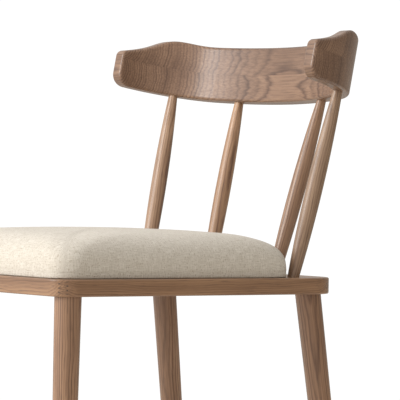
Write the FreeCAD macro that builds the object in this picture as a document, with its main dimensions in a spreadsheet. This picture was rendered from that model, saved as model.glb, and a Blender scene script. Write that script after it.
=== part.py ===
import FreeCAD, Part
import math
import os
import Sketcher
from FreeCAD import Placement, Rotation, Vector

# Wooden armchair: a flat finger-jointed seat frame on four splayed round legs, four swelling
# spindles, a bent crest rail glued up from two boards, and an upholstered drop-on seat.
# Millimetres. X to the sitter's left and right, Y towards the back, Z up, floor at Z = 0.

doc = FreeCAD.newDocument("wooden_armchair")

# ---------------------------------------------------------------- driving dimensions
SIZES = {
    # seat frame
    "seat_width": 470, "seat_depth": 508, "rail_width": 60, "back_rail_width": 100, "rail_thickness": 25,
    "front_bow": 7, "front_corner": 34, "back_corner": 53, "inner_corner": 12,
    "frame_edge": 2.5, "seat_rake": 1.3, "seat_height": 380, "seat_front": -297.2,
    "finger_count": 3, "finger_pitch": 6.3, "finger_depth": 13, "finger_tip": 1.6,
    # legs and glides
    "leg_top_dia": 39.5, "leg_foot_dia": 32.5, "leg_tenon_dia": 24, "leg_tenon_length": 17,
    "leg_tenon_root": 10, "leg_socket_gap": 1, "leg_foot_edge": 1.5,
    "front_leg_side_inset": 25.5, "front_leg_inset": 28, "back_leg_side_inset": 38, "back_leg_inset": 38,
    "leg_out": 0.042, "front_leg_forward": 0.058, "back_leg_back": 0.105,
    "leg_spare_foot": 0.1, "leg_spare_top": 0.05,
    "glide_dia": 24, "glide_height": 5, "glide_edge": 2, "glide_recess": 2,
    "nail_head_dia": 6, "nail_head_height": 1.2, "nail_head_gap": 0.5, "nail_dia": 2.4, "nail_length": 20,
    # spindles
    "spindle_top_dia": 14.6, "spindle_base_dia": 17.8, "spindle_swell": 2310,
    "spindle_tenon_dia": 12, "spindle_top_tenon": 24, "spindle_base_tenon": 16, "spindle_let_in": 4,
    "outer_base_side": 203, "outer_base_back": 436.5, "outer_top_side": 226, "outer_top_inset": 3,
    "inner_base_side": 90.5, "inner_base_back": 484.5, "inner_top_side": 111.2, "inner_top_inset": 0,
    # crest rail
    "crest_back": 573.5, "crest_rise": 285, "crest_tilt": 12.3, "crest_thickness": 25,
    "crest_back_radius": 554, "crest_back_angle": 16.7, "crest_wing_radius": 144.5, "crest_wing_angle": 65,
    "crest_tip_run": 30, "crest_reach": 163, "crest_depth": 92, "crest_tip_depth": 57.6,
    "crest_brow_slope": 0.31, "crest_joint": 45, "crest_edge": 5, "crest_stock": 110,
    "crest_tip_lower_round": 21, "crest_tip_upper_round": 7.5,
    # upholstered seat
    "pad_side_inset": 13, "pad_front_inset": 9, "pad_length": 416, "pad_corner": 34,
    "pad_height": 73, "pad_crown": 1400, "pad_edge": 16, "pad_front_bow": 6,
    "cover_thickness": 1.2, "cover_turn_under": 26, "board_thickness": 12,
    "dust_cover_thickness": 0.6, "dust_cover_inset": 8,
    "staple_width": 10, "staple_wire": 0.6, "staple_leg": 6, "staple_inset": 9,
    "staples_across": 5, "staples_along": 6,
    # corner blocks and screws
    "block_leg": 58, "block_height": 20, "block_end": 5, "block_screw_inset": 19,
    "screw_head_dia": 8.4, "screw_dia": 4.2, "screw_head_height": 2.8,
    "seat_screw_length": 30, "leg_screw_length": 24, "screw_recess": 0.4,
}
sheet = doc.addObject("Spreadsheet::Sheet", "Sizes")
for row, (alias, value) in enumerate(SIZES.items(), start=1):
    sheet.set(f"A{row}", alias)
    sheet.set(f"B{row}", str(value))
    sheet.setAlias(f"B{row}", alias)
doc.recompute()


def size(alias):
    """The value of one driving dimension."""
    return float(getattr(sheet, alias))


def value_of(expression):
    """The number that a sheet expression comes to."""
    return float(sheet.evalExpression(expression))


# ---------------------------------------------------------------- sketches and features
def outline(sketch, corners):
    """A closed outline, run counter-clockwise.

    Each corner is (x, y), or (x, y, radius) when an outward arc leads to the next corner.
    """
    points = [Vector(value_of(corner[0]), value_of(corner[1]), 0) for corner in corners]
    first = sketch.GeometryCount
    for index, corner in enumerate(corners):
        start = points[index]
        end = points[(index + 1) % len(points)]
        if len(corner) == 2:
            sketch.addGeometry(Part.LineSegment(start, end), False)
            continue
        radius = value_of(corner[2])
        chord = end - start
        side = Vector(-chord.y, chord.x, 0).normalize()
        centre = (start + end) * 0.5 + side * math.sqrt(radius ** 2 - chord.Length ** 2 / 4)
        angles = [math.atan2(point.y - centre.y, point.x - centre.x) for point in (start, end)]
        if angles[1] < angles[0]:
            angles[1] += 2 * math.pi
        circle = Part.Circle(centre, Vector(0, 0, 1), radius)
        sketch.addGeometry(Part.ArcOfCircle(circle, angles[0], angles[1]), False)
    for index, corner in enumerate(corners):
        geometry = first + index
        following = first + (index + 1) % len(corners)
        sketch.addConstraint(Sketcher.Constraint("Coincident", geometry, 2, following, 1))
        for kind, axis, expression in (("DistanceX", -2, corner[0]), ("DistanceY", -1, corner[1])):
            amount = value_of(expression)
            if abs(amount) < 1e-9:
                sketch.addConstraint(Sketcher.Constraint("PointOnObject", geometry, 1, axis))
            else:
                made = sketch.addConstraint(Sketcher.Constraint(kind, -1, 1, geometry, 1, amount))
                sketch.setExpression(f"Constraints[{made}]", expression)
        if len(corner) == 3:
            made = sketch.addConstraint(Sketcher.Constraint("Radius", geometry, value_of(corner[2])))
            sketch.setExpression(f"Constraints[{made}]", corner[2])


def new_sketch(body, role, name):
    """A sketch on one of the body's own origin planes."""
    plane = next(item for item in body.Origin.OriginFeatures if item.Role == role)
    sketch = body.newObject("Sketcher::SketchObject", name)
    sketch.AttachmentSupport = [(plane, "")]
    sketch.MapMode = "FlatFace"
    return sketch


def new_body(label):
    body = doc.addObject("PartDesign::Body", label)
    body.Label = label
    return body


def pad(body, outlines, length, lift=None):
    """Pads one or more outlines of the body's XY plane, raised by an expression when lift is given."""
    sketch = new_sketch(body, "XY_Plane", body.Name + "_plan")
    for corners in outlines:
        outline(sketch, corners)
    if lift:
        sketch.setExpression(".AttachmentOffset.Base.z", lift)
    feature = body.newObject("PartDesign::Pad", body.Name + "_pad")
    feature.Profile = (sketch, [""])
    feature.setExpression("Length", length)
    sketch.Visibility = False
    doc.recompute()
    return feature


def turned(label, corners):
    """A body turned about Z from a half profile of (radius, height) corners."""
    body = new_body(label)
    sketch = new_sketch(body, "XZ_Plane", label + "_profile")
    outline(sketch, corners)
    feature = body.newObject("PartDesign::Revolution", label + "_turning")
    feature.Profile = (sketch, [""])
    feature.ReferenceAxis = (sketch, ["V_Axis"])
    feature.Angle = 360
    doc.recompute()
    return body


def dress(body, kind, amount, wanted):
    """A PartDesign Fillet or Chamfer on the edges that the test wanted(edge) picks."""
    base = body.Tip
    names = [f"Edge{i}" for i, edge in enumerate(base.Shape.Edges, start=1) if wanted(edge)]
    feature = body.newObject("PartDesign::" + kind, f"{body.Name}_{kind.lower()}")
    feature.Base = (base, names)
    feature.setExpression("Radius" if kind == "Fillet" else "Size", amount)
    doc.recompute()
    return feature


def upright(edge):
    """True for a straight vertical edge."""
    ends = [vertex.Point for vertex in edge.Vertexes]
    return len(ends) == 2 and abs(ends[0].x - ends[1].x) + abs(ends[0].y - ends[1].y) < 1e-6


def level(edge, height):
    """True for an edge that lies at one height."""
    box = edge.BoundBox
    return box.ZLength < 1e-6 and abs(box.ZMin - height) < 1e-6


def primitive(kind, name, placement, **expressions):
    """A Part primitive with its sizes bound to the sheet."""
    item = doc.addObject("Part::" + kind, name)
    for key, expression in expressions.items():
        item.setExpression(key, expression)
    item.Placement = placement
    return item


def cut(label, base, tools):
    """The base with every tool taken away, one after the other."""
    for number, tool in enumerate(tools, start=1):
        item = doc.addObject("Part::Cut", f"{label}_cut{number}")
        item.Base = base
        item.Tool = tool
        base = item
    base.Label = label
    doc.recompute()
    return base


def fuse(label, base, tool):
    item = doc.addObject("Part::Fuse", label + "_fuse")
    item.Base = base
    item.Tool = tool
    item.Label = label
    doc.recompute()
    return item


def solid(label, shape):
    """A piece whose shape is worked out in code."""
    item = doc.addObject("Part::Feature", label)
    item.Label = label
    item.Shape = shape
    return item


def copies(label, pattern, places):
    """One node that holds a separate copy of the pattern at each place."""
    return solid(label, Part.makeCompound([pattern.Shape.transformed(place.Matrix) for place in places]))


# ---------------------------------------------------------------- datums
WIDTH = size("seat_width")
DEPTH = size("seat_depth")
THICK = size("rail_thickness")
LEFT_RIGHT = (("left", -1), ("right", 1))
# The opening inside the frame: half its width, and its front and back edges.
SIDE_OPENING = WIDTH / 2 - size("rail_width")
FRONT_OPENING = size("rail_width")
BACK_OPENING = DEPTH - size("back_rail_width")
UP = Vector(0, 0, 1)

chair_origin = Vector(0, size("seat_front"), size("seat_height"))
# The frame's own plane: X across, Y back from the front edge, Z up from its underside.
seat_place = Placement(chair_origin, Rotation(Vector(1, 0, 0), -size("seat_rake")))
crest_place = Placement(
    chair_origin + Vector(0, size("crest_back"), size("crest_rise")),
    Rotation(Vector(1, 0, 0), -size("crest_tilt")),
)


def on_seat(side, back, height):
    """A point of the seat frame's plane, in the chair's frame."""
    return seat_place.multVec(Vector(side, back, height))


def along(start, direction):
    """A placement at start whose Z axis runs in the direction."""
    return Placement(start, Rotation(UP, direction))


# ---------------------------------------------------------------- seat frame
def frame_blank():
    """The whole rounded ring of the seat frame, before it is divided into its four rails."""
    half = "Sizes.seat_width / 2"
    bow = "(Sizes.seat_width / 2)^2 / (2 * Sizes.front_bow) + Sizes.front_bow / 2"
    inner = "Sizes.seat_width / 2 - Sizes.rail_width"
    outer_loop = [
        ("-" + half, "0", bow),
        (half, "0"),
        (half, "Sizes.seat_depth"),
        ("-" + half, "Sizes.seat_depth"),
    ]
    inner_loop = [
        (f"-({inner})", "Sizes.rail_width"),
        (inner, "Sizes.rail_width"),
        (inner, "Sizes.seat_depth - Sizes.back_rail_width"),
        (f"-({inner})", "Sizes.seat_depth - Sizes.back_rail_width"),
    ]
    body = new_body("seat_ring")
    pad(body, [outer_loop, inner_loop], "Sizes.rail_thickness")

    def at_corner(edge, side, back):
        point = edge.Vertexes[0].Point
        return upright(edge) and abs(abs(point.x) - side) < 1 and abs(point.y - back) < 1

    dress(body, "Fillet", "Sizes.front_corner", lambda edge: at_corner(edge, WIDTH / 2, 0))
    dress(body, "Fillet", "Sizes.back_corner", lambda edge: at_corner(edge, WIDTH / 2, DEPTH))
    dress(body, "Fillet", "Sizes.inner_corner",
          lambda edge: upright(edge) and abs(edge.Vertexes[0].X) < SIDE_OPENING + 1)
    dress(body, "Fillet", "Sizes.frame_edge", lambda edge: level(edge, 0) or level(edge, THICK))
    return body


def comb(outer_corner, inner_corner, towards):
    """The half of space on one side of a corner's mitre, with blunt interlocking fingers on its face.

    The fingers stop short of the frame's rounded edges, where the joint is a plain straight cut.
    """
    reach = 2 * WIDTH
    tip = size("finger_depth") / 2
    count = int(size("finger_count"))
    pitch = size("finger_pitch")
    blunt = size("finger_tip")
    height = (THICK - count * pitch) / 2
    face = [(-tip, -1)]
    for _ in range(count):
        face += [
            (-tip, height + blunt / 2), (tip, height + (pitch - blunt) / 2),
            (tip, height + (pitch + blunt) / 2), (-tip, height + pitch - blunt / 2),
        ]
        height += pitch
    profile = face + [(-tip, THICK + 1), (reach, THICK + 1), (reach, -1)]
    into = (inner_corner - outer_corner).normalize()
    across = Vector(-into.y, into.x, 0)
    if across.dot(towards) < 0:
        across = -across
    start = outer_corner - into * reach / 2
    points = [start + across * run + UP * rise for run, rise in profile]
    return Part.Face(Part.makePolygon(points + points[:1])).extrude(into * reach)


def rail_shapes():
    """The four rails: front and back rails carry the fingers, the side rails take what they leave."""
    blank = frame_blank().Shape
    rails = {}
    sides = blank
    for name, outer_back, inner_back, towards in (
        ("front_rail", 0, FRONT_OPENING, Vector(0, -1, 0)),
        ("back_rail", DEPTH, BACK_OPENING, Vector(0, 1, 0)),
    ):
        rail = blank
        for _, sign in LEFT_RIGHT:
            outer_corner = Vector(sign * WIDTH / 2, outer_back, 0)
            inner_corner = Vector(sign * SIDE_OPENING, inner_back, 0)
            rail = rail.common(comb(outer_corner, inner_corner, towards))
        rails[name] = rail
        sides = sides.cut(rail)
    for side_rail in sides.Solids:
        side_name = "left" if side_rail.CenterOfMass.x < 0 else "right"
        rails[side_name + "_side_rail"] = side_rail
    return rails


rails = rail_shapes()

# ---------------------------------------------------------------- legs
LEG_SPOTS = {}
for side_name, sign in LEFT_RIGHT:
    LEG_SPOTS["front_" + side_name] = (
        sign * (WIDTH / 2 - size("front_leg_side_inset")), size("front_leg_inset"),
        Vector(sign * size("leg_out"), -size("front_leg_forward"), -1),
    )
    LEG_SPOTS["back_" + side_name] = (
        sign * (WIDTH / 2 - size("back_leg_side_inset")), DEPTH - size("back_leg_inset"),
        Vector(sign * size("leg_out"), size("back_leg_back"), -1),
    )
SLAB = "Sizes.seat_width * 2"


def slab(name, placement):
    """A block that trims a leg flush with the plane of its placement's underside."""
    return primitive("Box", name, placement, Length=SLAB, Width=SLAB, Height="Sizes.rail_width * 2")


above_frame = slab("above_frame", seat_place * Placement(Vector(-WIDTH, -WIDTH / 2, 0), Rotation()))
below_foot = slab("below_foot", Placement(
    Vector(-WIDTH, -WIDTH, size("glide_height") - 2 * size("rail_width")), Rotation()))


def leg(name, side, back, down):
    """A round tapered leg with its tenon, the socket for it, and the axis that both share.

    The tapered stock is longer than the leg at both ends, by the two spare shares of its height.
    """
    top = on_seat(side, back, 0)
    run = down.normalize()
    root = top + run * size("leg_tenon_root")
    taper = primitive(
        "Cone", name + "_taper", along(top + run * size("seat_height") * (1 + size("leg_spare_foot")), -run),
        Height="Sizes.seat_height * (1 + Sizes.leg_spare_foot + Sizes.leg_spare_top)",
        Radius1="(Sizes.leg_foot_dia - Sizes.leg_spare_foot * (Sizes.leg_top_dia - Sizes.leg_foot_dia)) / 2",
        Radius2="(Sizes.leg_top_dia + Sizes.leg_spare_top * (Sizes.leg_top_dia - Sizes.leg_foot_dia)) / 2",
    )
    trimmed = cut(name + "_trimmed", taper, [above_frame, below_foot])
    foot = size("glide_height")
    rounded = doc.addObject("Part::Chamfer", name + "_foot")
    rounded.Base = trimmed
    edge = next(i for i, item in enumerate(trimmed.Shape.Edges, start=1) if level(item, foot))
    rounded.Edges = [(edge, size("leg_foot_edge"), size("leg_foot_edge"))]
    tenon = primitive(
        "Cylinder", name + "_tenon", along(root, -run),
        Radius="Sizes.leg_tenon_dia / 2", Height="Sizes.leg_tenon_length + Sizes.leg_tenon_root",
    )
    socket = primitive(
        "Cylinder", name + "_socket", along(root, -run), Radius="Sizes.leg_tenon_dia / 2",
        Height="Sizes.leg_tenon_length + Sizes.leg_socket_gap + Sizes.leg_tenon_root",
    )
    whole = fuse(name + "_whole", rounded, tenon)
    return whole, socket, top, run


leg_blanks = {name: leg(name + "_leg", *spot) for name, spot in LEG_SPOTS.items()}

# ---------------------------------------------------------------- screws, nails and staples
screw_pattern = {}
for use in ("seat", "leg"):
    length = f"Sizes.{use}_screw_length"
    screw_pattern[use] = turned(use + "_screw_pattern", [
        ("0", "0"),
        ("Sizes.screw_head_dia / 2", "0"),
        ("Sizes.screw_dia / 2", "Sizes.screw_head_height"),
        ("Sizes.screw_dia / 2", f"{length} - Sizes.screw_dia"),
        ("0", length),
    ])
nail_pattern = turned("nail_pattern", [
    ("0", "0"),
    ("Sizes.nail_head_dia / 2", "0"),
    ("Sizes.nail_head_dia / 2", "Sizes.nail_head_height"),
    ("Sizes.nail_dia / 2", "Sizes.nail_head_height"),
    ("Sizes.nail_dia / 2", "Sizes.nail_length - Sizes.nail_dia"),
    ("0", "Sizes.nail_length"),
])

# A leg screw goes down through the rails' joint into the leg's tenon.
leg_screws = copies("leg_screws", screw_pattern["leg"], [
    along(top - run * (THICK - size("screw_recess")), run) for _, _, top, run in leg_blanks.values()
])

BLOCK_CORNERS = {}
for side_name, sign in LEFT_RIGHT:
    BLOCK_CORNERS["front_" + side_name] = (sign * SIDE_OPENING, FRONT_OPENING, -sign, 1)
    BLOCK_CORNERS["back_" + side_name] = (sign * SIDE_OPENING, BACK_OPENING, -sign, -1)
# A seat screw goes up through a corner block into the seat board.
block_bottom = THICK - size("block_height")
seat_screws = copies("seat_board_screws", screw_pattern["seat"], [
    seat_place * Placement(
        Vector(x + dx * size("block_screw_inset"), y + dy * size("block_screw_inset"),
               block_bottom + size("screw_recess")), Rotation())
    for x, y, dx, dy in BLOCK_CORNERS.values()
])


def foot_centre(top, run):
    """Where a leg's axis comes down to its glide."""
    travel = (top.z - size("glide_height")) / -run.z
    return top + run * travel


FEET = {name: foot_centre(top, run) for name, (_, _, top, run) in leg_blanks.items()}
glide_nails = copies("glide_nails", nail_pattern, [
    Placement(Vector(foot.x, foot.y, size("glide_recess")), Rotation()) for foot in FEET.values()
])

# ---------------------------------------------------------------- corner blocks
def corner_block(name, x, y, dx, dy):
    """A triangular glue block in an inner corner of the frame, its corner nipped to clear the round."""
    body = new_body(name + "_block_blank")
    nip = "Sizes.inner_corner"
    reach = "Sizes.block_leg"
    corners = [
        (nip, "0"),
        (reach, "0"),
        (reach, "Sizes.block_end"),
        ("Sizes.block_end", reach),
        ("0", reach),
        ("0", nip),
    ]
    pad(body, [corners], "Sizes.block_height")
    turn = {(1, 1): 0, (-1, 1): 90, (-1, -1): 180, (1, -1): 270}[(dx, dy)]
    place = Placement(Vector(x, y, block_bottom), Rotation(UP, turn))
    body.Placement = seat_place * place
    return cut(name + "_corner_block", body, [seat_screws])


corner_blocks = [corner_block(name, *spot) for name, spot in BLOCK_CORNERS.items()]

# ---------------------------------------------------------------- glides
def glide(name, foot):
    """A plastic foot button, hollowed under the nail's head."""
    body = turned(name + "_glide_blank", [
        ("Sizes.nail_head_dia / 2 + Sizes.nail_head_gap", "0"),
        ("Sizes.glide_dia / 2 - Sizes.glide_edge", "0", "Sizes.glide_edge"),
        ("Sizes.glide_dia / 2", "Sizes.glide_edge"),
        ("Sizes.glide_dia / 2", "Sizes.glide_height"),
        ("0", "Sizes.glide_height"),
        ("0", "Sizes.glide_recess"),
        ("Sizes.nail_head_dia / 2 + Sizes.nail_head_gap", "Sizes.glide_recess"),
    ])
    body.Placement = Placement(Vector(foot.x, foot.y, 0), Rotation())
    return cut(name + "_foot_glide", body, [glide_nails])


# ---------------------------------------------------------------- crest rail
def crest_curve(offset):
    """The crest's plan line, moved outwards by offset: a wide back arc, two wing arcs, two straight tips."""
    back_radius = size("crest_back_radius")
    wing_radius = size("crest_wing_radius")
    back_angle = math.radians(size("crest_back_angle"))
    full_angle = back_angle + math.radians(size("crest_wing_angle"))

    def on_arc(centre, radius, angle):
        return Vector(centre.x + radius * math.sin(angle), centre.y + radius * math.cos(angle), 0)

    back_centre = Vector(0, -back_radius, 0)
    wing_centre = on_arc(back_centre, back_radius - wing_radius, back_angle)
    crown = on_arc(back_centre, back_radius + offset, 0)
    hip = on_arc(wing_centre, wing_radius + offset, back_angle)
    bend = on_arc(wing_centre, wing_radius + offset, (back_angle + full_angle) / 2)
    wrist = on_arc(wing_centre, wing_radius + offset, full_angle)
    tip = wrist + Vector(math.cos(full_angle), -math.sin(full_angle), 0) * size("crest_tip_run")

    def mirrored(point):
        return Vector(-point.x, point.y, 0)

    return [
        Part.LineSegment(mirrored(tip), mirrored(wrist)).toShape(),
        Part.Arc(mirrored(wrist), mirrored(bend), mirrored(hip)).toShape(),
        Part.Arc(mirrored(hip), crown, hip).toShape(),
        Part.Arc(hip, bend, wrist).toShape(),
        Part.LineSegment(wrist, tip).toShape(),
    ], mirrored(tip), tip


# Points of the crest's top edge between its brow and its back: distance forward, and height.
CREST_SWOOP = ((141, 64.6), (121, 72.3), (105, 81), (88, 90.4), (73, 93.3), (45, 91.2))
# Where a quarter circle's middle lies: this share of the way from the corner along each side.
QUARTER_MIDDLE = 1 - 1 / math.sqrt(2)


def crest_blank():
    """The whole crest: its plan strip raised, then sawn to its side outline and eased all round."""
    half = size("crest_thickness") / 2
    outer, outer_left, outer_right = crest_curve(half)
    inner, inner_left, inner_right = crest_curve(-half)
    ends = [
        Part.LineSegment(outer_left, inner_left).toShape(),
        Part.LineSegment(outer_right, inner_right).toShape(),
    ]
    loop = Part.Wire(Part.__sortEdges__(outer + inner + ends))
    strip = Part.Face(loop).extrude(UP * size("crest_stock"))

    reach = size("crest_reach")
    depth = size("crest_depth")
    tip_depth = size("crest_tip_depth")
    low = size("crest_tip_lower_round")
    high = size("crest_tip_upper_round")
    behind = size("crest_thickness")
    slope = Vector(0, 1, size("crest_brow_slope")).normalize()
    brow = Vector(0, -reach, tip_depth)
    swoop = Part.BSplineCurve()
    swoop.interpolate(
        Points=[
            brow + slope * high,
            *(Vector(0, -forward, rise) for forward, rise in CREST_SWOOP),
            Vector(0, 0, depth),
        ],
        InitialTangent=slope,
        FinalTangent=Vector(0, 1, 0),
    )

    def rounded_corner(before, corner, after):
        middle = corner * (1 - 2 * QUARTER_MIDDLE) + (before + after) * QUARTER_MIDDLE
        return Part.Arc(before, middle, after).toShape()

    heel = Vector(0, -reach, 0)
    side = [
        Part.LineSegment(Vector(0, behind, 0), heel + Vector(0, low, 0)).toShape(),
        rounded_corner(heel + Vector(0, low, 0), heel, heel + Vector(0, 0, low)),
        Part.LineSegment(heel + Vector(0, 0, low), brow - Vector(0, 0, high)).toShape(),
        rounded_corner(brow - Vector(0, 0, high), brow, brow + slope * high),
        swoop.toShape(),
        Part.LineSegment(Vector(0, 0, depth), Vector(0, behind, depth)).toShape(),
        Part.LineSegment(Vector(0, behind, depth), Vector(0, behind, 0)).toShape(),
    ]
    profile = Part.Face(Part.Wire(side))
    span = 2 * WIDTH
    profile.translate(Vector(-span / 2, 0, 0))
    whole = strip.common(profile.extrude(Vector(span, 0, 0)))
    return whole.Solids[0]


def eased(shape):
    """The crest with its long edges and its end edges rounded."""
    def sharp(edge):
        faces = shape.ancestorsOfType(edge, Part.Face)
        middle = edge.valueAt((edge.FirstParameter + edge.LastParameter) / 2)
        normals = [face.normalAt(*face.Surface.parameter(middle)) for face in faces]
        return len(normals) == 2 and abs(normals[0].dot(normals[1])) < 0.7
    return shape.makeFillet(size("crest_edge"), [edge for edge in shape.Edges if sharp(edge)])


crest = eased(crest_blank())


def crest_board(label, bottom, top, tools):
    """One of the two glued boards: the slice of the crest between two heights."""
    span = 2 * WIDTH
    slice_box = Part.makeBox(span, span, top - bottom, Vector(-span / 2, -span / 2, bottom))
    blank = solid(label + "_blank", crest.common(slice_box).Solids[0])
    blank.Placement = crest_place
    return cut(label, blank, tools) if tools else blank


# ---------------------------------------------------------------- spindles
def crest_seat(side, inset):
    """A point of the crest's underside, on its centre line at a distance from the middle, then moved inwards."""
    back_radius = size("crest_back_radius")
    wing_radius = size("crest_wing_radius")
    back_angle = math.radians(size("crest_back_angle"))
    hip_side = back_radius * math.sin(back_angle)
    centre = Vector(0, -back_radius, 0)
    radius = back_radius
    if side > hip_side:
        centre += Vector(math.sin(back_angle), math.cos(back_angle), 0) * (back_radius - wing_radius)
        radius = wing_radius
    back = centre.y + math.sqrt(radius ** 2 - (side - centre.x) ** 2)
    point = Vector(side, back, 0)
    inwards = (centre - point).normalize()
    return crest_place.multVec(point + inwards * inset)


def spindle(label, sign, place_name):
    """A swelling spindle with a tenon in the frame and a tenon in the crest, and its two sockets."""
    base = on_seat(sign * size(place_name + "_base_side"), size(place_name + "_base_back"), THICK)
    head = crest_seat(size(place_name + "_top_side"), size(place_name + "_top_inset"))
    head = Vector(sign * head.x, head.y, head.z)
    run = head - base
    length = f"{run.Length:.4f}"
    body = turned(label + "_blank", [
        ("0", "-Sizes.spindle_base_tenon"),
        ("Sizes.spindle_tenon_dia / 2", "-Sizes.spindle_base_tenon"),
        ("Sizes.spindle_tenon_dia / 2", "-Sizes.spindle_let_in"),
        ("Sizes.spindle_base_dia / 2", "-Sizes.spindle_let_in"),
        ("Sizes.spindle_base_dia / 2", "0", "Sizes.spindle_swell"),
        ("Sizes.spindle_top_dia / 2", length),
        ("Sizes.spindle_top_dia / 2", length + " + Sizes.spindle_let_in"),
        ("Sizes.spindle_tenon_dia / 2", length + " + Sizes.spindle_let_in"),
        ("Sizes.spindle_tenon_dia / 2", length + " + Sizes.spindle_top_tenon"),
        ("0", length + " + Sizes.spindle_top_tenon"),
    ])
    body.Label = label
    body.Placement = along(base, run)
    return body


spindles = {}
for side_name, sign in LEFT_RIGHT:
    for place_name in ("outer", "inner"):
        label = f"{place_name}_{side_name}_spindle"
        spindles[label] = spindle(label, sign, place_name)

crest_lower = crest_board("crest_lower_board", 0, size("crest_joint"), list(spindles.values()))
crest_upper = crest_board("crest_upper_board", size("crest_joint"), size("crest_stock"), [])
crest_upper.Label = "crest_upper_board"

# ---------------------------------------------------------------- rails and legs, drilled
sockets = [socket for _, socket, _, _ in leg_blanks.values()]
rail_nodes = []
for label, shape in rails.items():
    blank = solid(label + "_blank", shape)
    blank.Placement = seat_place
    near = [tool for tool in sockets + list(spindles.values()) + [leg_screws]
            if tool.Shape.common(blank.Shape).Volume > 1]
    rail_nodes.append(cut(label, blank, near))

leg_nodes = [cut(name + "_leg", whole, [leg_screws, glide_nails])
             for name, (whole, _, _, _) in leg_blanks.items()]
glide_nodes = [glide(name, foot) for name, foot in FEET.items()]

# ---------------------------------------------------------------- upholstered seat
def pad_outline(inset):
    """The seat pad's plan, drawn in by inset: a softly bowed front and a straight back."""
    half = f"Sizes.seat_width / 2 - Sizes.pad_side_inset - {inset}"
    front = f"Sizes.pad_front_inset + {inset}"
    back = f"Sizes.pad_front_inset + Sizes.pad_length - {inset}"
    bow = f"({half})^2 / (2 * Sizes.pad_front_bow) + Sizes.pad_front_bow / 2"
    return [(f"-({half})", front, bow), (half, front), (half, back), (f"-({half})", back)]


def pad_block(name, inset, bottom, top, crowned):
    """A block of the pad's plan between two heights, crowned on top like the stuffed seat."""
    body = new_body(name)
    pad(body, [pad_outline(inset)], f"({top}) - ({bottom})", lift=bottom)
    dress(body, "Fillet", f"Sizes.pad_corner - {inset}", upright)
    if not crowned:
        body.Placement = seat_place
        return body
    middle = Vector(0, size("pad_front_inset") + size("pad_length") / 2, value_of(top) - size("pad_crown"))
    ball = Part.makeSphere(size("pad_crown"), middle)
    block = body.Shape.common(ball).Solids[0]
    halfway = (value_of(bottom) + value_of(top)) / 2
    rim = [edge for edge in block.Edges if edge.BoundBox.ZMin > halfway]
    shape = block.makeFillet(size("pad_edge") - value_of(inset), rim)
    item = solid(name + "_crowned", shape)
    item.Placement = seat_place
    return item


TOP = "Sizes.rail_thickness + Sizes.pad_height"
SKIN = "Sizes.cover_thickness"
BOARD_BOTTOM = f"Sizes.rail_thickness + {SKIN}"
BOARD_TOP = f"{BOARD_BOTTOM} + Sizes.board_thickness"

stuffing_and_board = pad_block("stuffing_space", SKIN, BOARD_BOTTOM, f"{TOP} - {SKIN}", True)
cover_outer = pad_block("cover_outside", "0", "Sizes.rail_thickness", TOP, True)
under_opening = pad_block("cover_opening", "Sizes.cover_turn_under", "0", BOARD_BOTTOM, False)
seat_cover = cut("seat_cover", cover_outer, [stuffing_and_board, under_opening])
below_board_top = pad_block("board_space", "0", "0", BOARD_TOP, False)
seat_foam = cut("seat_foam", stuffing_and_board, [below_board_top])


def dust_cover_and_staples():
    """The black cloth under the seat, inside the frame's opening, and the staples that hold it."""
    half = "Sizes.seat_width / 2 - Sizes.rail_width - Sizes.dust_cover_inset"
    front = "Sizes.rail_width + Sizes.dust_cover_inset"
    back = "Sizes.seat_depth - Sizes.back_rail_width - Sizes.dust_cover_inset"
    corners = [(f"-({half})", front), (half, front), (half, back), (f"-({half})", back)]
    body = new_body("dust_cover_blank")
    thickness = "Sizes.dust_cover_thickness"
    pad(body, [corners], thickness, lift=f"{BOARD_BOTTOM} - {thickness}")
    body.Placement = seat_place

    wire = size("staple_wire")
    wide = size("staple_width")
    bridge = Part.makeBox(wide, wire, wire, Vector(-wide / 2, -wire / 2, -wire))
    prongs = [
        Part.makeBox(wire, wire, size("staple_leg"), Vector(x, -wire / 2, -wire))
        for x in (-wide / 2, wide / 2 - wire)
    ]
    staple = solid("staple_pattern", bridge.fuse(prongs).removeSplitter())
    under = value_of(f"{BOARD_BOTTOM} - {thickness}")
    far_side = value_of(half) - size("staple_inset")
    first_row = value_of(front) + size("staple_inset")
    last_row = value_of(back) - size("staple_inset")
    places = []
    across = int(size("staples_across"))
    lengthways = int(size("staples_along"))
    for index in range(across):
        x = far_side * (2 * (index + 0.5) / across - 1)
        places += [(x, first_row, 0), (x, last_row, 0)]
    for index in range(lengthways):
        y = first_row + (last_row - first_row) * (index + 0.5) / lengthways
        places += [(-far_side, y, 90), (far_side, y, 90)]
    staples = copies("dust_cover_staples", staple, [
        seat_place * Placement(Vector(x, y, under), Rotation(UP, turn)) for x, y, turn in places
    ])
    return cut("dust_cover", body, [staples]), staples


dust_cover, staples = dust_cover_and_staples()
board_blank = pad_block("board_blank", SKIN, BOARD_BOTTOM, BOARD_TOP, False)
seat_board = cut("seat_board", board_blank, [seat_screws, staples])

# ---------------------------------------------------------------- check and write
nodes = (
    rail_nodes + corner_blocks + leg_nodes + glide_nodes + list(spindles.values())
    + [crest_lower, crest_upper, seat_board, seat_foam, seat_cover, dust_cover]
    + [leg_screws, seat_screws, glide_nails, staples]
)
doc.recompute()
for item in doc.Objects:
    if "Invalid" in item.State or "Error" in item.State:
        raise RuntimeError(f"{item.Label} did not recompute: {item.State}")
for node in nodes:
    if node.Shape.isNull() or not node.Shape.isValid():
        raise RuntimeError(f"{node.Label} has no valid shape")

os.makedirs("parts", exist_ok=True)
for node in nodes:
    node.Shape.exportStep(f"parts/{node.Label}.step")
whole = Part.makeCompound([node.Shape for node in nodes])
box = whole.BoundBox
print(len(nodes), "nodes")
print(f"X {box.XMin:.2f} {box.XMax:.2f}  Y {box.YMin:.2f} {box.YMax:.2f}  Z {box.ZMin:.2f} {box.ZMax:.2f}")
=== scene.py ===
import math
import bmesh
import bpy
from mathutils import Matrix, Vector


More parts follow.
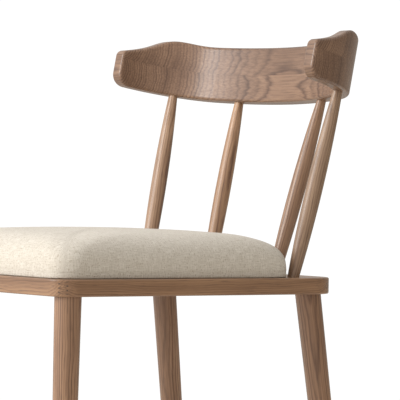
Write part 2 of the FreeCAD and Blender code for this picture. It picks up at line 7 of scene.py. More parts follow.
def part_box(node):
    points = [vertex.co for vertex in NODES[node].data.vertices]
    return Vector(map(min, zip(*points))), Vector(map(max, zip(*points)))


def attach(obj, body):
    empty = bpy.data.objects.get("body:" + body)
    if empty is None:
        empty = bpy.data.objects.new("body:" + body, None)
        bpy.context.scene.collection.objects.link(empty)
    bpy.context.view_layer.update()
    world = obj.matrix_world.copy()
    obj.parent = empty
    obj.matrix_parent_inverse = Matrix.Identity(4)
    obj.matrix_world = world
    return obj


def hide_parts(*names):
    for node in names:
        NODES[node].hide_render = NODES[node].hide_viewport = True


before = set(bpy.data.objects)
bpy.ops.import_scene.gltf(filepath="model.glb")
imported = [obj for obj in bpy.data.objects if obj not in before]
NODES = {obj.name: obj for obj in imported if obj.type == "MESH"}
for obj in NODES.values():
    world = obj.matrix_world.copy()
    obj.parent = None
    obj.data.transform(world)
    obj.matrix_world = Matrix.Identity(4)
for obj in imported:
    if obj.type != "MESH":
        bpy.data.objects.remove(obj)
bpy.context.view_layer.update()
MM = 0.001

# ---------------------------------------------------------------- places read from the frame
SEAT_RAKE = math.radians(1.3)
CREST_TILT = math.radians(12.3)
cover_low, cover_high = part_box("seat_cover")
_, rail_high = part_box("right_side_rail")
front_low, front_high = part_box("front_rail")
HALF_SEAT = rail_high.x

# the seat frame's joints, as the rails were cut
FINGERS = 3
FINGER_PITCH = 6.3 * MM
FINGER_DEPTH = 13 * MM
FINGER_TIP = 1.6 * MM
RAIL_THICK = 25 * MM
RAIL_WIDTH = 60 * MM
BACK_RAIL_WIDTH = 100 * MM
LEG_DIAMETER = 35.6 * MM
SPINDLE_DIAMETER = 15 * MM
SEAT_DEPTH = 508 * MM
FRONT_BOW = 7 * MM
seat_front = front_low.y + FRONT_BOW
seat_bottom = front_high.z - RAIL_THICK


# ---------------------------------------------------------------- node helpers
def add(tree, kind, inputs=None, **settings):
    """A shader node with its settings, each input a plain value or another node's output socket."""
    made = tree.nodes.new(kind)
    for name, value in settings.items():
        setattr(made, name, value)
    for name, value in (inputs or {}).items():
        if isinstance(value, bpy.types.NodeSocket):
            tree.links.new(value, made.inputs[name])
        else:
            made.inputs[name].default_value = value
    return made


def calc(tree, operation, first, second=0.0, clamp=False):
    """The output of one Math node."""
    inputs = {0: first, 1: second}
    return add(tree, "ShaderNodeMath", inputs, operation=operation, use_clamp=clamp).outputs[0]


def ramp(tree, value, stops, interpolation="EASE"):
    """The output colour of a colour ramp through (position, colour) stops."""
    made = add(tree, "ShaderNodeValToRGB", {"Fac": value})
    made.color_ramp.interpolation = interpolation
    elements = made.color_ramp.elements
    while len(elements) < len(stops):
        elements.new(0.5)
    for element, (position, colour) in zip(elements, stops):
        element.position = position
        element.color = (*colour, 1.0)
    return made.outputs["Color"]


def level(tree, value, low, high, start=0.0, end=1.0):
    """value moved from the range low..high to start..end, held at both ends."""
    inputs = {"Value": value, "From Min": low, "From Max": high, "To Min": start, "To Max": end}
    return add(tree, "ShaderNodeMapRange", inputs, clamp=True).outputs["Result"]


def blend(tree, how, amount, first, second):
    """The colour output of one Mix node."""
    made = add(tree, "ShaderNodeMix", data_type="RGBA", blend_type=how)
    for index, value in ((0, amount), (6, first), (7, second)):
        if isinstance(value, bpy.types.NodeSocket):
            tree.links.new(value, made.inputs[index])
        elif index == 0:
            made.inputs[0].default_value = value
        else:
            made.inputs[index].default_value = (*value, 1.0)
    return made.outputs[2]


def noise(tree, place, scale, detail=2.0, rough=0.5):
    inputs = {"Vector": place, "Scale": scale, "Detail": detail, "Roughness": rough}
    return add(tree, "ShaderNodeTexNoise", inputs).outputs["Fac"]


def stretched(tree, place, stretch):
    """Coordinates scaled by a different amount along each axis."""
    inputs = {0: place, 1: stretch}
    return add(tree, "ShaderNodeVectorMath", inputs, operation="MULTIPLY").outputs["Vector"]


def new_material(name, **constants):
    """A material and its tree and shader, with the constant shader values set on the shader itself."""
    material = bpy.data.materials.new(name)
    material.use_nodes = True
    tree = material.node_tree
    shader = tree.nodes["Principled BSDF"]
    for socket, value in constants.items():
        shader.inputs[socket.replace("_", " ")].default_value = value
    return material, tree, shader


def bump(tree, shader, height, distance, strength=1.0):
    made = add(tree, "ShaderNodeBump", {"Height": height, "Distance": distance, "Strength": strength})
    tree.links.new(made.outputs["Normal"], shader.inputs["Normal"])


# ---------------------------------------------------------------- wood
DARK_BROWN = (0.095, 0.050, 0.030)
MID_BROWN = (0.250, 0.140, 0.080)
PALE_BROWN = (0.450, 0.278, 0.168)
CREST_TINT = (0.80, 0.78, 0.79)
FRAME_TINT = (0.93, 0.86, 0.74)
LEG_TINT = (1.07, 1.03, 0.98)
# Painted light: each spindle's tint lightens it by how much light falls on it, the inner left one most.
SPINDLE_PAINTED_LIGHT = {
    "outer_left_spindle": (1.32, 1.40, 1.48), "inner_left_spindle": (1.72, 1.80, 1.80),
    "inner_right_spindle": (1.02, 1.00, 1.00), "outer_right_spindle": (1.02, 1.10, 1.16),
}
LATEWOOD_TINT = (0.40, 0.33, 0.30)
FIBRE_TINT = (0.42, 0.34, 0.30)
GLUE_BROWN = (0.055, 0.032, 0.022)
# Dark latewood across one growth ring.
RING_SHADES = [
    (0.0, (0.35,) * 3), (0.12, (0.0,) * 3), (0.50, (0.15,) * 3), (0.85, (1.0,) * 3), (1.0, (0.35,) * 3),
]
# How fine each pattern is: along the grain, across the face and out of it, per metre.
SLOW_WAVES = (3.0, 9.0, 9.0)
QUICK_WAVES = (14.0, 85.0, 32.0)
PORES = (40.0, 640.0, 640.0)
FIBRES = (7.0, 420.0, 420.0)
PATCHES = (4.0, 14.0, 14.0)
# How far the quick waves push the rings.
QUICK_BEND = 5.0 * MM


def grain_frame(origin, along, face):
    """Rotation and shift from the chair's frame to a board's: x along its grain, z out of its face."""
    x = Vector(along).normalized()
    z = (Vector(face) - x * Vector(face).dot(x)).normalized()
    turn = Matrix((x, z.cross(x), z))
    return turn.to_euler("XYZ"), -(turn @ Vector(origin))


def wood(name, origin, along, face, pith, ring, seed, contrast=1.0, bend=20 * MM, tint=FRAME_TINT,
         joint=False):
    """Brown-stained, satin-oiled ash: growth rings about a pith line, pores, fibre streaks, slow tone change.

    pith is how far the heart of the log lies from the board's origin, across its face and out of it.
    ring is how wide a year's growth is, and bend is how far the slow waves push the rings.
    tint colours the whole piece, and on the spindles it is painted light; joint draws the frame's finger
    joints on it.
    """
    finish = {"Specular_IOR_Level": 0.45, "Coat_Weight": 0.34, "Coat_Roughness": 0.24}
    material, tree, shader = new_material(name, **finish)
    turn, shift = grain_frame(origin, along, face)
    where = add(tree, "ShaderNodeTexCoord").outputs["Object"]
    inputs = {"Vector": where, "Rotation": turn, "Location": shift}
    local = add(tree, "ShaderNodeMapping", inputs).outputs["Vector"]
    offset = (seed, seed * 0.37, seed * 0.71)
    seeded = add(tree, "ShaderNodeVectorMath", {0: local, 1: offset}).outputs["Vector"]

    # growth rings: distance from the pith, bent by slow and quick waves
    parts = add(tree, "ShaderNodeSeparateXYZ", {"Vector": local}).outputs
    slow = noise(tree, stretched(tree, seeded, SLOW_WAVES), 1.0, 1.0)
    quick = noise(tree, stretched(tree, seeded, QUICK_WAVES), 1.0, 2.0)
    side = calc(tree, "SUBTRACT", parts["Y"], pith[0])
    out = calc(tree, "SUBTRACT", parts["Z"], pith[1])
    squares = calc(tree, "ADD", calc(tree, "MULTIPLY", side, side), calc(tree, "MULTIPLY", out, out))
    radius = calc(tree, "SQRT", squares)
    bent = calc(tree, "ADD", radius, calc(tree, "MULTIPLY", slow, bend))
    wavy = calc(tree, "ADD", bent, calc(tree, "MULTIPLY", quick, QUICK_BEND))
    phase = calc(tree, "FRACT", calc(tree, "DIVIDE", wavy, ring))
    years = add(tree, "ShaderNodeCombineXYZ", {"X": wavy, "Y": seed * MM}).outputs["Vector"]
    strong = level(tree, noise(tree, years, 130.0, 1.0), 0.35, 0.62, 0.30, 1.0)
    season = noise(tree, years, 62.0, 2.0)
    ridge = ramp(tree, phase, RING_SHADES, "LINEAR")
    late = calc(tree, "MULTIPLY", ridge, strong)

    # pores and fibres run with the grain
    pores = noise(tree, stretched(tree, seeded, PORES), 1.0, 1.0)
    fibre = noise(tree, stretched(tree, seeded, FIBRES), 1.0, 3.0, 0.65)
    patch = noise(tree, stretched(tree, seeded, PATCHES), 1.0, 2.0)
    pore_mask = level(tree, pores, 0.57, 0.68)
    pore_line = calc(tree, "MULTIPLY", pore_mask, level(tree, late, 0.0, 1.0, 0.35, 1.0))

    tone = level(tree, calc(tree, "ADD", patch, season), 0.72, 1.28)
    dark = tuple(a * b for a, b in zip(MID_BROWN, tint))
    pale = tuple(a * b for a, b in zip(PALE_BROWN, tint))
    base = blend(tree, "MIX", tone, dark, pale)
    ringed = blend(tree, "MULTIPLY", calc(tree, "MULTIPLY", late, 0.62 * contrast), base, LATEWOOD_TINT)
    streak = level(tree, fibre, 0.32, 0.68, 0.0, 0.40 * contrast)
    streaked = blend(tree, "MULTIPLY", streak, ringed, FIBRE_TINT)
    colour = blend(tree, "MIX", calc(tree, "MULTIPLY", pore_line, 0.70), streaked, DARK_BROWN)
    if joint:
        colour = blend(tree, "MIX", finger_lines(tree, where), colour, GLUE_BROWN)
    tree.links.new(colour, shader.inputs["Base Color"])
    height = calc(tree, "SUBTRACT", calc(tree, "MULTIPLY", fibre, 0.5), pore_line)
    bump(tree, shader, height, 0.12 * MM, 0.6)
    rough = level(tree, fibre, 0.3, 0.7, 0.36, 0.50)
    tree.links.new(rough, shader.inputs["Roughness"])
    return material


def finger_lines(tree, where):
    """1 on the thin dark glue lines of the frame's four finger joints, 0 elsewhere."""
    turn = Matrix.Rotation(SEAT_RAKE, 3, "X")
    shift = -(turn @ Vector((0.0, seat_front, seat_bottom)))
    inputs = {"Vector": where, "Rotation": turn.to_euler("XYZ"), "Location": shift}
    seat = add(tree, "ShaderNodeMapping", inputs).outputs["Vector"]
    parts = add(tree, "ShaderNodeSeparateXYZ", {"Vector": seat}).outputs
    beside = calc(tree, "SUBTRACT", calc(tree, "ABSOLUTE", parts["X"]), HALF_SEAT)
    height = FINGERS * FINGER_PITCH
    rise = calc(tree, "SUBTRACT", parts["Z"], (RAIL_THICK - height) / 2)
    off_middle = calc(tree, "ABSOLUTE", calc(tree, "SUBTRACT", rise, height / 2))
    inside = calc(tree, "LESS_THAN", off_middle, height / 2)
    wave = calc(tree, "PINGPONG", rise, FINGER_PITCH / 2)
    taper = FINGER_PITCH / 2 - FINGER_TIP
    climb = level(tree, wave, FINGER_TIP / 2, FINGER_TIP / 2 + taper, -FINGER_DEPTH / 2, FINGER_DEPTH / 2)
    flatness = taper / FINGER_DEPTH
    lines = []
    for outer_back, towards_front, width in ((0.0, 1.0, RAIL_WIDTH), (SEAT_DEPTH, -1.0, BACK_RAIL_WIDTH)):
        into = Vector((-RAIL_WIDTH, towards_front * width, 0.0)).normalized()
        across = Vector((into.y, -into.x, 0.0)) * -towards_front
        behind = calc(tree, "SUBTRACT", parts["Y"], outer_back)
        sideways = calc(tree, "MULTIPLY", beside, across.x)
        backwards = calc(tree, "MULTIPLY", behind, across.y)
        run = calc(tree, "ADD", sideways, backwards)
        off_flank = calc(tree, "ABSOLUTE", calc(tree, "SUBTRACT", run, climb))
        away = calc(tree, "MULTIPLY", off_flank, flatness)
        past = calc(tree, "SUBTRACT", calc(tree, "ABSOLUTE", run), FINGER_DEPTH / 2)
        flank = calc(tree, "MULTIPLY", level(tree, away, 0.12 * MM, 0.36 * MM, 0.8, 0.0),
                     calc(tree, "LESS_THAN", past, 0.0))
        tip = level(tree, calc(tree, "ABSOLUTE", past), 0.4 * MM, 0.9 * MM, 1.0, 0.0)
        met = level(tree, away, 0.12 * MM, 0.30 * MM, 1.0, 0.0)
        lines.append(calc(tree, "MAXIMUM", flank, calc(tree, "MULTIPLY", tip, met)))
    return calc(tree, "MULTIPLY", inside, calc(tree, "MAXIMUM", *lines))


def paint(node, material):
    """Gives a CAD node's every slot the material."""
    data = NODES[node].data
    data.materials.clear()
    data.materials.append(material)


CREST_RING = 3.9 * MM
RAIL_RING = 2.6 * MM
TURNED_RING = 3.6 * MM
RAIL_PITH = (0.03, -0.06)
TURNED_PITH = (0.01, 0.045)


def finish_wood():
    """Ash for the crest, the rails and the turned parts, each cut from its own place in a log."""
    seat_up = Vector((0.0, math.sin(SEAT_RAKE), math.cos(SEAT_RAKE)))
    crest_face = Vector((0.0, -math.cos(CREST_TILT), math.sin(CREST_TILT)))
    crest_low, crest_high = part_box("crest_lower_board")
    origin = Vector((0.0, crest_high.y, (crest_low.z + crest_high.z) / 2))
    boards = (
        ("crest_lower_board", (1.0, -0.03, 0.0), (-0.020, 0.20), 1.7),
        ("crest_upper_board", (1.0, -0.015, 0.0), (0.028, 0.19), 5.3),
    )
    for node, along, pith, seed in boards:
        ash = wood(node + "_ash", origin, along, crest_face, pith, CREST_RING, seed, 1.5, 12 * MM, CREST_TINT)
        paint(node, ash)
    rails = (
        ("front_rail", (1.0, 0.02, 0.03), 2.1), ("back_rail", (1.0, 0.0, 0.0), 3.3),
        ("left_side_rail", (0.0, 1.0, 0.01), 4.6), ("right_side_rail", (0.0, 1.0, -0.015), 6.2),
    )
    for node, along, seed in rails:
        low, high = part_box(node)
        middle = (low + high) / 2
        paint(node, wood(node + "_ash", middle, along, seat_up, RAIL_PITH, RAIL_RING, seed, joint=True))
    for number, node in enumerate(sorted(NODES)):
        if not node.endswith(("_leg", "_spindle")):
            continue
        low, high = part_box(node)
        sign = math.copysign(1.0, low.x + high.x)
        front = node.startswith("front")
        leg = node.endswith("_leg")
        thick = LEG_DIAMETER if leg else SPINDLE_DIAMETER
        lean = high - low - Vector((thick, thick, 0.0))
        outwards = -1.0 if leg else 1.0
        backwards = 1.0 if (front or not leg) else -1.0
        axis = Vector((sign * outwards * lean.x, backwards * lean.y, lean.z))
        face = Vector((math.cos(number), math.sin(number), 0.0))
        middle = (low + high) / 2
        # a spindle's tint is painted light, a leg's tint is its wood tone
        tint = SPINDLE_PAINTED_LIGHT.get(node, LEG_TINT)
        seed = number * 1.3
        paint(node, wood(node + "_ash", middle, axis, face, TURNED_PITH, TURNED_RING, seed, 1.5, tint=tint))


# ---------------------------------------------------------------- other hard materials
def plain_wood(name, pale, dark, scale):
    """Unfinished wood: pale, with soft streaks along X."""
    material, tree, shader = new_material(name, Roughness=0.62)
    where = add(tree, "ShaderNodeTexCoord").outputs["Object"]
    streak = noise(tree, stretched(tree, where, (8.0, scale, scale)), 1.0, 3.0)
    colour = blend(tree, "MIX", level(tree, streak, 0.3, 0.7), pale, dark)
    tree.links.new(colour, shader.inputs["Base Color"])
    bump(tree, shader, streak, 0.15 * MM, 0.5)
    return material


def plywood():
    """Plywood: a streaked face veneer, and five plies that show on its edges."""
    material, tree, shader = new_material("birch_plywood", Roughness=0.60)
    where = add(tree, "ShaderNodeTexCoord").outputs["Object"]
    tilt = {"Vector": where, "Rotation": (SEAT_RAKE, 0.0, 0.0)}
    level_up = add(tree, "ShaderNodeMapping", tilt).outputs["Vector"]
    rise = add(tree, "ShaderNodeSeparateXYZ", {"Vector": level_up}).outputs["Z"]
    ply = calc(tree, "PINGPONG", rise, 2.4 * MM)
    bands = level(tree, ply, 0.9 * MM, 1.5 * MM)
    streak = noise(tree, stretched(tree, where, (9.0, 160.0, 160.0)), 1.0, 3.0)
    face = blend(tree, "MIX", level(tree, streak, 0.3, 0.7), (0.62, 0.46, 0.29), (0.50, 0.34, 0.20))
    colour = blend(tree, "MULTIPLY", calc(tree, "MULTIPLY", bands, 0.35), face, (0.45, 0.36, 0.28))
    tree.links.new(colour, shader.inputs["Base Color"])
    bump(tree, shader, streak, 0.1 * MM, 0.4)
    return material


def steel():
    """Zinc-plated steel with a faint mottle."""
    material, tree, shader = new_material("zinc_steel", Metallic=1.0)
    where = add(tree, "ShaderNodeTexCoord").outputs["Object"]
    mottle = noise(tree, where, 900.0, 2.0)
    colour = blend(tree, "MIX", mottle, (0.50, 0.50, 0.49), (0.68, 0.67, 0.64))
    tree.links.new(colour, shader.inputs["Base Color"])
    tree.links.new(level(tree, mottle, 0.3, 0.7, 0.25, 0.45), shader.inputs["Roughness"])
    return material


def glide_plastic():
    """Dark brown moulded plastic with a fine pebbled skin, scuffed paler underneath."""
    material, tree, shader = new_material("glide_plastic", Roughness=0.5)
    where = add(tree, "ShaderNodeTexCoord").outputs["Object"]
    rise = add(tree, "ShaderNodeSeparateXYZ", {"Vector": where}).outputs["Z"]
    scuffs = noise(tree, where, 700.0, 4.0, 0.7)
    low = level(tree, rise, 0.2 * MM, 1.6 * MM, 1.0, 0.0)
    worn = calc(tree, "MULTIPLY", low, level(tree, scuffs, 0.42, 0.62))
    colour = blend(tree, "MIX", worn, (0.030, 0.021, 0.016), (0.12, 0.10, 0.085))
    tree.links.new(colour, shader.inputs["Base Color"])
    bump(tree, shader, noise(tree, where, 2600.0, 2.0), 0.05 * MM, 0.5)
    return material


def finish_small_parts():
    block = plain_wood("corner_block_beech", (0.52, 0.35, 0.21), (0.40, 0.25, 0.14), 240.0)
    zinc = steel()
    plastic = glide_plastic()
    for node in NODES:
        if node.endswith("_corner_block"):
            paint(node, block)
        elif node.endswith("_foot_glide"):
            paint(node, plastic)
        elif node.endswith(("_screws", "_nails", "_staples")):
            paint(node, zinc)
    paint("seat_board", plywood())


# ---------------------------------------------------------------- fabric
WEAVE_PITCH = 1.15 * MM
LINEN_SHADE = (0.545, 0.48, 0.385)
LINEN_LIGHT = (0.79, 0.73, 0.635)
FLECK_BROWN = (0.27, 0.17, 0.09)


def linen():
    """Oatmeal linen: a plain weave with slubs, brown flecks and a little fuzz."""
    material, tree, shader = new_material("oatmeal_linen", Roughness=0.92, Specular_IOR_Level=0.2)
    shader.inputs["Sheen Weight"].default_value = 0.25
    shader.inputs["Sheen Roughness"].default_value = 0.6
    cloth = add(tree, "ShaderNodeUVMap", uv_map="cloth").outputs["UV"]
    wobble = noise(tree, stretched(tree, cloth, (90.0, 90.0, 1.0)), 1.0, 2.0)
    drift = {"X": calc(tree, "MULTIPLY", wobble, 2.4 * MM), "Y": calc(tree, "MULTIPLY", wobble, 1.9 * MM)}
    nudge = add(tree, "ShaderNodeCombineXYZ", drift).outputs["Vector"]
    shifted = add(tree, "ShaderNodeVectorMath", {0: cloth, 1: nudge}).outputs["Vector"]
    parts = add(tree, "ShaderNodeSeparateXYZ", {"Vector": shifted}).outputs
    turns = math.tau / WEAVE_PITCH
    warp = calc(tree, "SINE", calc(tree, "MULTIPLY", parts["X"], turns))
    weft = calc(tree, "SINE", calc(tree, "MULTIPLY", parts["Y"], turns))
    weave = calc(tree, "MULTIPLY", warp, weft)
    slub_a = noise(tree, stretched(tree, cloth, (70.0, 800.0, 1.0)), 1.0, 2.0, 0.6)
    slub_b = noise(tree, stretched(tree, cloth, (800.0, 70.0, 1.0)), 1.0, 2.0, 0.6)
    slubs = calc(tree, "ADD", calc(tree, "MULTIPLY", slub_a, 0.5), calc(tree, "MULTIPLY", slub_b, 0.5))
    tone = level(tree, slubs, 0.36, 0.64)
    body = blend(tree, "MIX", tone, LINEN_SHADE, LINEN_LIGHT)
    fleck_noise = noise(tree, stretched(tree, cloth, (330.0, 520.0, 1.0)), 1.0, 1.0)
    flecks = level(tree, fleck_noise, 0.61, 0.70, 0.0, 0.55)
    flecked = blend(tree, "MIX", flecks, body, FLECK_BROWN)
    shade = level(tree, weave, -1.0, 1.0, 0.90, 1.0)
    grey = add(tree, "ShaderNodeCombineColor", {"Red": shade, "Green": shade, "Blue": shade}).outputs["Color"]
    tree.links.new(blend(tree, "MULTIPLY", 1.0, flecked, grey), shader.inputs["Base Color"])
    height = calc(tree, "ADD", calc(tree, "MULTIPLY", weave, 0.5), slubs)
    bump(tree, shader, height, 0.5 * MM, 0.6)
    return material


def dust_cloth():
    """Black non-woven cloth: matte, with a fine pressed dot pattern and loose fibres."""
    material, tree, shader = new_material("dust_cloth", Roughness=0.95)
    where = add(tree, "ShaderNodeTexCoord").outputs["Object"]
    fibres = noise(tree, where, 420.0, 4.0, 0.7)
    pressed = {"Vector": where, "Scale": 500.0, "Randomness": 0.15}
    dots = add(tree, "ShaderNodeTexVoronoi", pressed).outputs["Distance"]
    colour = blend(tree, "MIX", fibres, (0.012, 0.012, 0.013), (0.045, 0.045, 0.048))
    tree.links.new(colour, shader.inputs["Base Color"])
    bump(tree, shader, calc(tree, "ADD", fibres, dots), 0.2 * MM, 0.7)
    return material


def new_piece(name, vertices, faces, material):
    """A smooth-shaded mesh linked into the scene; its callers attach it to the chair's one body."""
    mesh = bpy.data.meshes.new(name)
    mesh.from_pydata(vertices, [], faces)
    mesh.materials.append(material)
    mesh.polygons.foreach_set("use_smooth", [True] * len(mesh.polygons))
    piece = bpy.data.objects.new(name, mesh)
    bpy.context.scene.collection.objects.link(piece)
    return piece


def net_faces(count, down=False):
    """The squares of a net of count by count vertices, facing up or down."""
    faces = []
    for row in range(count - 1):
        for column in range(count - 1):
            corner = row * count + column
            square = (corner, corner + 1, corner + count + 1, corner + count)
            faces.append((corner, *square[:0:-1]) if down else square)
    return faces


def seat_plane(point):
    """A point of the raked seat plane, (side, back, height), in the chair's frame."""
    turned = Matrix.Rotation(-SEAT_RAKE, 3, "X") @ Vector(point)
    return turned + Vector((0.0, seat_front, seat_bottom))


# ---------------------------------------------------------------- seat cushion
PAD_RINGS = 52
PAD_SAMPLES = 240
PAD_MARGIN = 0.8 * MM
PAD_FULLNESS = 2.5
PAD_EDGE = 52 * MM
PAD_TOP = 60.5 * MM
PAD_CROWN = 7 * MM
PAD_WALL = 13 * MM
PAD_CORNER = 34 * MM
PAD_SOFTENING = 0.28
PAD_INNER_SHARE = 0.2
PAD_ROUNDEST = 0.9
PAD_BOW = 6 * MM
PAD_LEAN = 1.4 * MM
STUFFING_FRAMES = 20
EVENING_ROUNDS = 40
pad_half = cover_high.x + PAD_MARGIN
pad_front = cover_low.y - seat_front - RAIL_THICK * math.sin(SEAT_RAKE) + PAD_BOW - PAD_MARGIN
pad_back = cover_high.y - seat_front - PAD_LEAN + PAD_MARGIN
pad_length = (pad_back - pad_front) / 2


# The pad's hem below its shoulder, as (share of the plan's half size, height): a seam, a wall and the tuck.
PAD_HEM = (
    (1.0, 10.5 * MM), (0.9985, 8.5 * MM), (1.0, 6.5 * MM), (1.0, 4.0 * MM), (1.0, 1.6 * MM),
    (0.998, 0.3 * MM), (0.985, 0.2 * MM), (0.93, 0.2 * MM),
)


def pad_section():
    """The pad's section from the middle of its top, over its rim, to its tucked-under edge.

    Each point is (share of the plan's half size, height above the frame, length of cloth from the middle).
    """
    edge_share = PAD_EDGE / pad_half
    points = []
    for sample in range(PAD_SAMPLES + 1):
        share = sample / PAD_SAMPLES
        inside = max(0.0, (share - (1 - edge_share)) / edge_share)
        shoulder = PAD_WALL + (PAD_TOP - PAD_WALL) * (1 - inside ** PAD_FULLNESS) ** (1 / PAD_FULLNESS)
        points.append((share, shoulder + PAD_CROWN * (1 - share ** 2)))
    lengths = [0.0]
    for (share_a, rise_a), (share_b, rise_b) in zip(points, points[1:]):
        lengths.append(lengths[-1] + math.hypot((share_b - share_a) * pad_half, rise_b - rise_a))
    section = []
    top_rings = PAD_RINGS - len(PAD_HEM)
    for ring in range(top_rings + 1):
        wanted = lengths[-1] * ring / top_rings
        index = max(i for i, length in enumerate(lengths[:-1]) if length <= wanted + 1e-9)
        part = (wanted - lengths[index]) / (lengths[index + 1] - lengths[index])
        share = points[index][0] + part * (points[index + 1][0] - points[index][0])
        rise = points[index][1] + part * (points[index + 1][1] - points[index][1])
        section.append((share, rise, wanted))
    for share, rise in PAD_HEM:
        before = section[-1]
        length = before[2] + math.hypot((share - before[0]) * pad_half, rise - before[1])
        section.append((share, rise, length))
    return section


def pad_rim(across, back, share):
    """The rounded plan outline of one ring, towards a point (across, back) of a unit square's rim.

    Rings further in have rounder corners, so that the pad's shoulders stay soft.
    """
    corner = PAD_CORNER + PAD_SOFTENING * (1 - share)
    corner = min(corner / max(share, PAD_INNER_SHARE), PAD_ROUNDEST * pad_length)
    side = across * pad_half
    rear = back * pad_length
    over_side = abs(side) - (pad_half - corner)
    over_rear = abs(rear) - (pad_length - corner)
    if over_side > 0 and over_rear > 0:
        turn = math.atan2(over_rear, over_side)
        side = math.copysign(pad_half - corner + corner * math.cos(turn), side)
        rear = math.copysign(pad_length - corner + corner * math.sin(turn), rear)
    if rear < 0:
        rear -= PAD_BOW * (1 - (side / pad_half) ** 2) * -rear / pad_length
    return side, rear


def build_pad(material):
    """The cushion's cloth as one square net of rings, pulled down over the pad and tucked under it."""
    section = pad_section()
    count = 2 * PAD_RINGS + 1
    middle = (pad_front + pad_back) / 2
    vertices = []
    cloth = []
    for row in range(count):
        for column in range(count):
            across = (column - PAD_RINGS) / PAD_RINGS
            back = (row - PAD_RINGS) / PAD_RINGS
            reach = max(abs(across), abs(back))
            share, rise, length = section[round(reach * PAD_RINGS)]
            side, rear = pad_rim(across / reach, back / reach, share) if reach else (0.0, 0.0)
            side, rear = side * share, rear * share
            vertices.append(seat_plane((side, rear + middle, RAIL_THICK + rise)))
            if abs(across) >= abs(back):
                cloth.append((math.copysign(length, across), rear))
            else:
                cloth.append((side, math.copysign(length, back)))
    piece = new_piece("seat_cushion", vertices, net_faces(count), material)
    layer = piece.data.uv_layers.new(name="cloth")
    for loop in piece.data.loops:
        layer.data[loop.index].uv = cloth[loop.vertex_index]
    return piece


def evened(piece, steps):
    """The moves of a piece's vertices, averaged with their neighbours' so that no small dents stay."""
    beside = [[] for _ in steps]
    for edge in piece.data.edges:
        first, second = edge.vertices
        beside[first].append(second)
        beside[second].append(first)
    for _ in range(EVENING_ROUNDS):
        steps = [
            step * 0.5 + sum((steps[i] for i in near), Vector()) * (0.5 / len(near))
            for step, near in zip(steps, beside)
        ]
    return steps


def settle(piece, pressure, limit, still):
    """Stuffs the piece by cloth simulation, holding the vertices that still names, and caps each move."""
    rest = [vertex.co.copy() for vertex in piece.data.vertices]
    group = piece.vertex_groups.new(name="held")
    group.add([i for i, point in enumerate(rest) if still(i, point)], 1.0, "REPLACE")
    cloth = piece.modifiers.new("stuffing", "CLOTH")
    settings = cloth.settings
    settings.quality = 6
    settings.mass = 0.3
    settings.tension_stiffness = 14.0
    settings.compression_stiffness = 14.0
    settings.shear_stiffness = 6.0
    settings.bending_stiffness = 1.5
    settings.use_pressure = True
    settings.uniform_pressure_force = pressure
    settings.vertex_group_mass = "held"
    settings.effector_weights.gravity = 0.0
    cloth.point_cache.frame_start = 1
    cloth.point_cache.frame_end = STUFFING_FRAMES
    for moment in range(1, STUFFING_FRAMES + 1):
        bpy.context.scene.frame_set(moment)
    shown = piece.evaluated_get(bpy.context.evaluated_depsgraph_get())
    moved = [vertex.co.copy() for vertex in shown.data.vertices]
    piece.modifiers.remove(cloth)
    piece.vertex_groups.clear()
    steps = [end - start for start, end in zip(rest, moved)]
    for step in steps:
        if step.length > limit:
            step *= limit / step.length
    for vertex, start, step in zip(piece.data.vertices, rest, evened(piece, steps)):
        vertex.co = start + step
    bpy.context.scene.frame_set(1)


def make_cushion():
    piece = build_pad(linen())
    height_of_rim = RAIL_THICK + PAD_WALL

    def still(_, point):
        local = Matrix.Rotation(SEAT_RAKE, 3, "X") @ (point - Vector((0.0, seat_front, seat_bottom)))
        return local.z < height_of_rim

    settle(piece, 0.9, 2.5 * MM, still)
    smooth = piece.modifiers.new("smooth", "SUBSURF")
    smooth.levels = 1
    smooth.render_levels = 1
    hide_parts("seat_cover", "seat_foam")
    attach(piece, "root")


def make_dust_cover():
    """The black cloth under the seat, hanging a little between the staples round its edge."""
    low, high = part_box("dust_cover")
    half = high.x
    front = low.y - seat_front
    back = high.y - seat_front
    cells = 40
    sag = 3.0 * MM
    ripple = 0.35 * MM
    under = RAIL_THICK + 0.75 * MM
    vertices = []
    for row in range(cells + 1):
        for column in range(cells + 1):
            across = 2 * column / cells - 1
            along = 2 * row / cells - 1
            hang = (1 - across ** 2) * (1 - along ** 2)
            pucker = ripple * math.cos(across * 5 * math.pi) * along ** 8
            pucker += ripple * math.cos(along * 6 * math.pi) * across ** 8
            rear = front + (back - front) * row / cells
            vertices.append(seat_plane((across * half, rear, under - sag * hang + pucker)))
    faces = net_faces(cells + 1, down=True)
    piece = new_piece("dust_cover_cloth", vertices, faces, dust_cloth())
    thick = piece.modifiers.new("thickness", "SOLIDIFY")
    thick.thickness = 0.5 * MM
    thick.offset = 0.0
    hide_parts("dust_cover")
    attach(piece, "root")


# ---------------------------------------------------------------- studio
VIEW_AZIMUTH = math.radians(54.99)
VIEW_PITCH = math.radians(1.064)
VIEW_DISTANCE = 3.8
VIEW_AIM = Vector((0.1684, -0.0096, 0.5142))
LENS = 227.4


def direction(azimuth, elevation):
    """The unit vector towards a place: azimuth 0 is in front of the chair, and 90 is on its +X side."""
    flat = math.cos(elevation)
    return Vector((math.sin(azimuth) * flat, -math.cos(azimuth) * flat, math.sin(elevation)))


def make_camera():
    data = bpy.data.cameras.new("camera")
    data.lens = LENS
    data.sensor_width = 36.0
    data.clip_end = 50.0
    camera = bpy.data.objects.new("camera", data)
    bpy.context.scene.collection.objects.link(camera)
    back = direction(VIEW_AZIMUTH, VIEW_PITCH)
    camera.location = VIEW_AIM + back * VIEW_DISTANCE
    camera.rotation_euler = back.to_track_quat("Z", "Y").to_euler()
    bpy.context.scene.camera = camera


def soft_light(name, azimuth, elevation, distance, width, power):
    """A white area light, a little taller than wide, facing the chair. Azimuth and elevation are degrees."""
    data = bpy.data.lights.new(name, "AREA")
    data.shape = "RECTANGLE"
    data.size = width
    data.size_y = width * 1.2
    data.energy = power
    light = bpy.data.objects.new(name, data)
    bpy.context.scene.collection.objects.link(light)
    out = direction(math.radians(azimuth), math.radians(elevation))
    light.location = Vector((0.0, 0.0, 0.5)) + out * distance
    light.rotation_euler = out.to_track_quat("Z", "Y").to_euler()


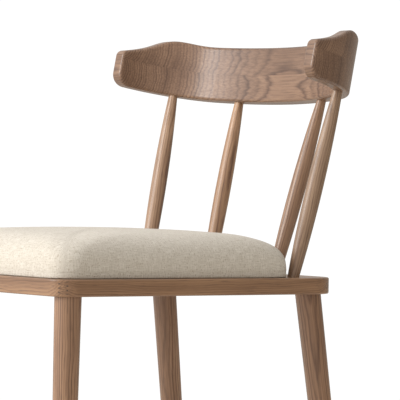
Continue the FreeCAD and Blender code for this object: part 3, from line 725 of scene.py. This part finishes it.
AMBIENT_AZIMUTH = -25
AMBIENT_ELEVATION = 48
AMBIENT_DIM = 0.19
AMBIENT_BRIGHT = 1.05
AMBIENT_WARM = (1.0, 0.90, 0.76)
BACKDROP = 1.05


def make_world():
    """Soft pale light from all round, brightest from the front, warm behind, and a white backdrop."""
    world = bpy.data.worlds.new("studio")
    bpy.context.scene.world = world
    world.use_nodes = True
    tree = world.node_tree
    background = tree.nodes["Background"]
    seen = add(tree, "ShaderNodeLightPath").outputs["Is Camera Ray"]
    way = add(tree, "ShaderNodeTexCoord").outputs["Generated"]
    brightest = direction(math.radians(AMBIENT_AZIMUTH), math.radians(AMBIENT_ELEVATION))
    match = add(tree, "ShaderNodeVectorMath", {0: way, 1: brightest}, operation="DOT_PRODUCT")
    facing = match.outputs["Value"]
    ambient = level(tree, facing, -1.0, 1.0, AMBIENT_DIM, AMBIENT_BRIGHT)
    shade = level(tree, facing, -1.0, 0.6, 0.0, 1.0)
    colour = blend(tree, "MIX", calc(tree, "MAXIMUM", shade, seen), AMBIENT_WARM, (1.0, 1.0, 1.0))
    tree.links.new(colour, background.inputs["Color"])
    strength = calc(tree, "MAXIMUM", ambient, calc(tree, "MULTIPLY", seen, BACKDROP))
    tree.links.new(strength, background.inputs["Strength"])


FLOOR_RADIUS = 1.9


def make_floor():
    """A round pale floor with a faint mottle."""
    form = bmesh.new()
    bmesh.ops.create_circle(form, cap_ends=True, radius=FLOOR_RADIUS, segments=96)
    mesh = bpy.data.meshes.new("floor")
    form.to_mesh(mesh)
    form.free()
    floor = bpy.data.objects.new("floor", mesh)
    floor.location.z = -0.0005
    bpy.context.scene.collection.objects.link(floor)
    material, tree, shader = new_material("pale_floor", Roughness=0.7)
    where = add(tree, "ShaderNodeTexCoord").outputs["Object"]
    mottle = noise(tree, where, 6.0, 3.0)
    colour = blend(tree, "MIX", mottle, (0.80, 0.755, 0.69), (0.84, 0.795, 0.73))
    tree.links.new(colour, shader.inputs["Base Color"])
    mesh.materials.append(material)


bpy.context.scene.view_settings.view_transform = "Standard"
make_camera()
make_world()
soft_light("key", azimuth=-15, elevation=27, distance=2.6, width=1.5, power=57.5)
make_floor()
finish_wood()
finish_small_parts()
make_cushion()
make_dust_cover()
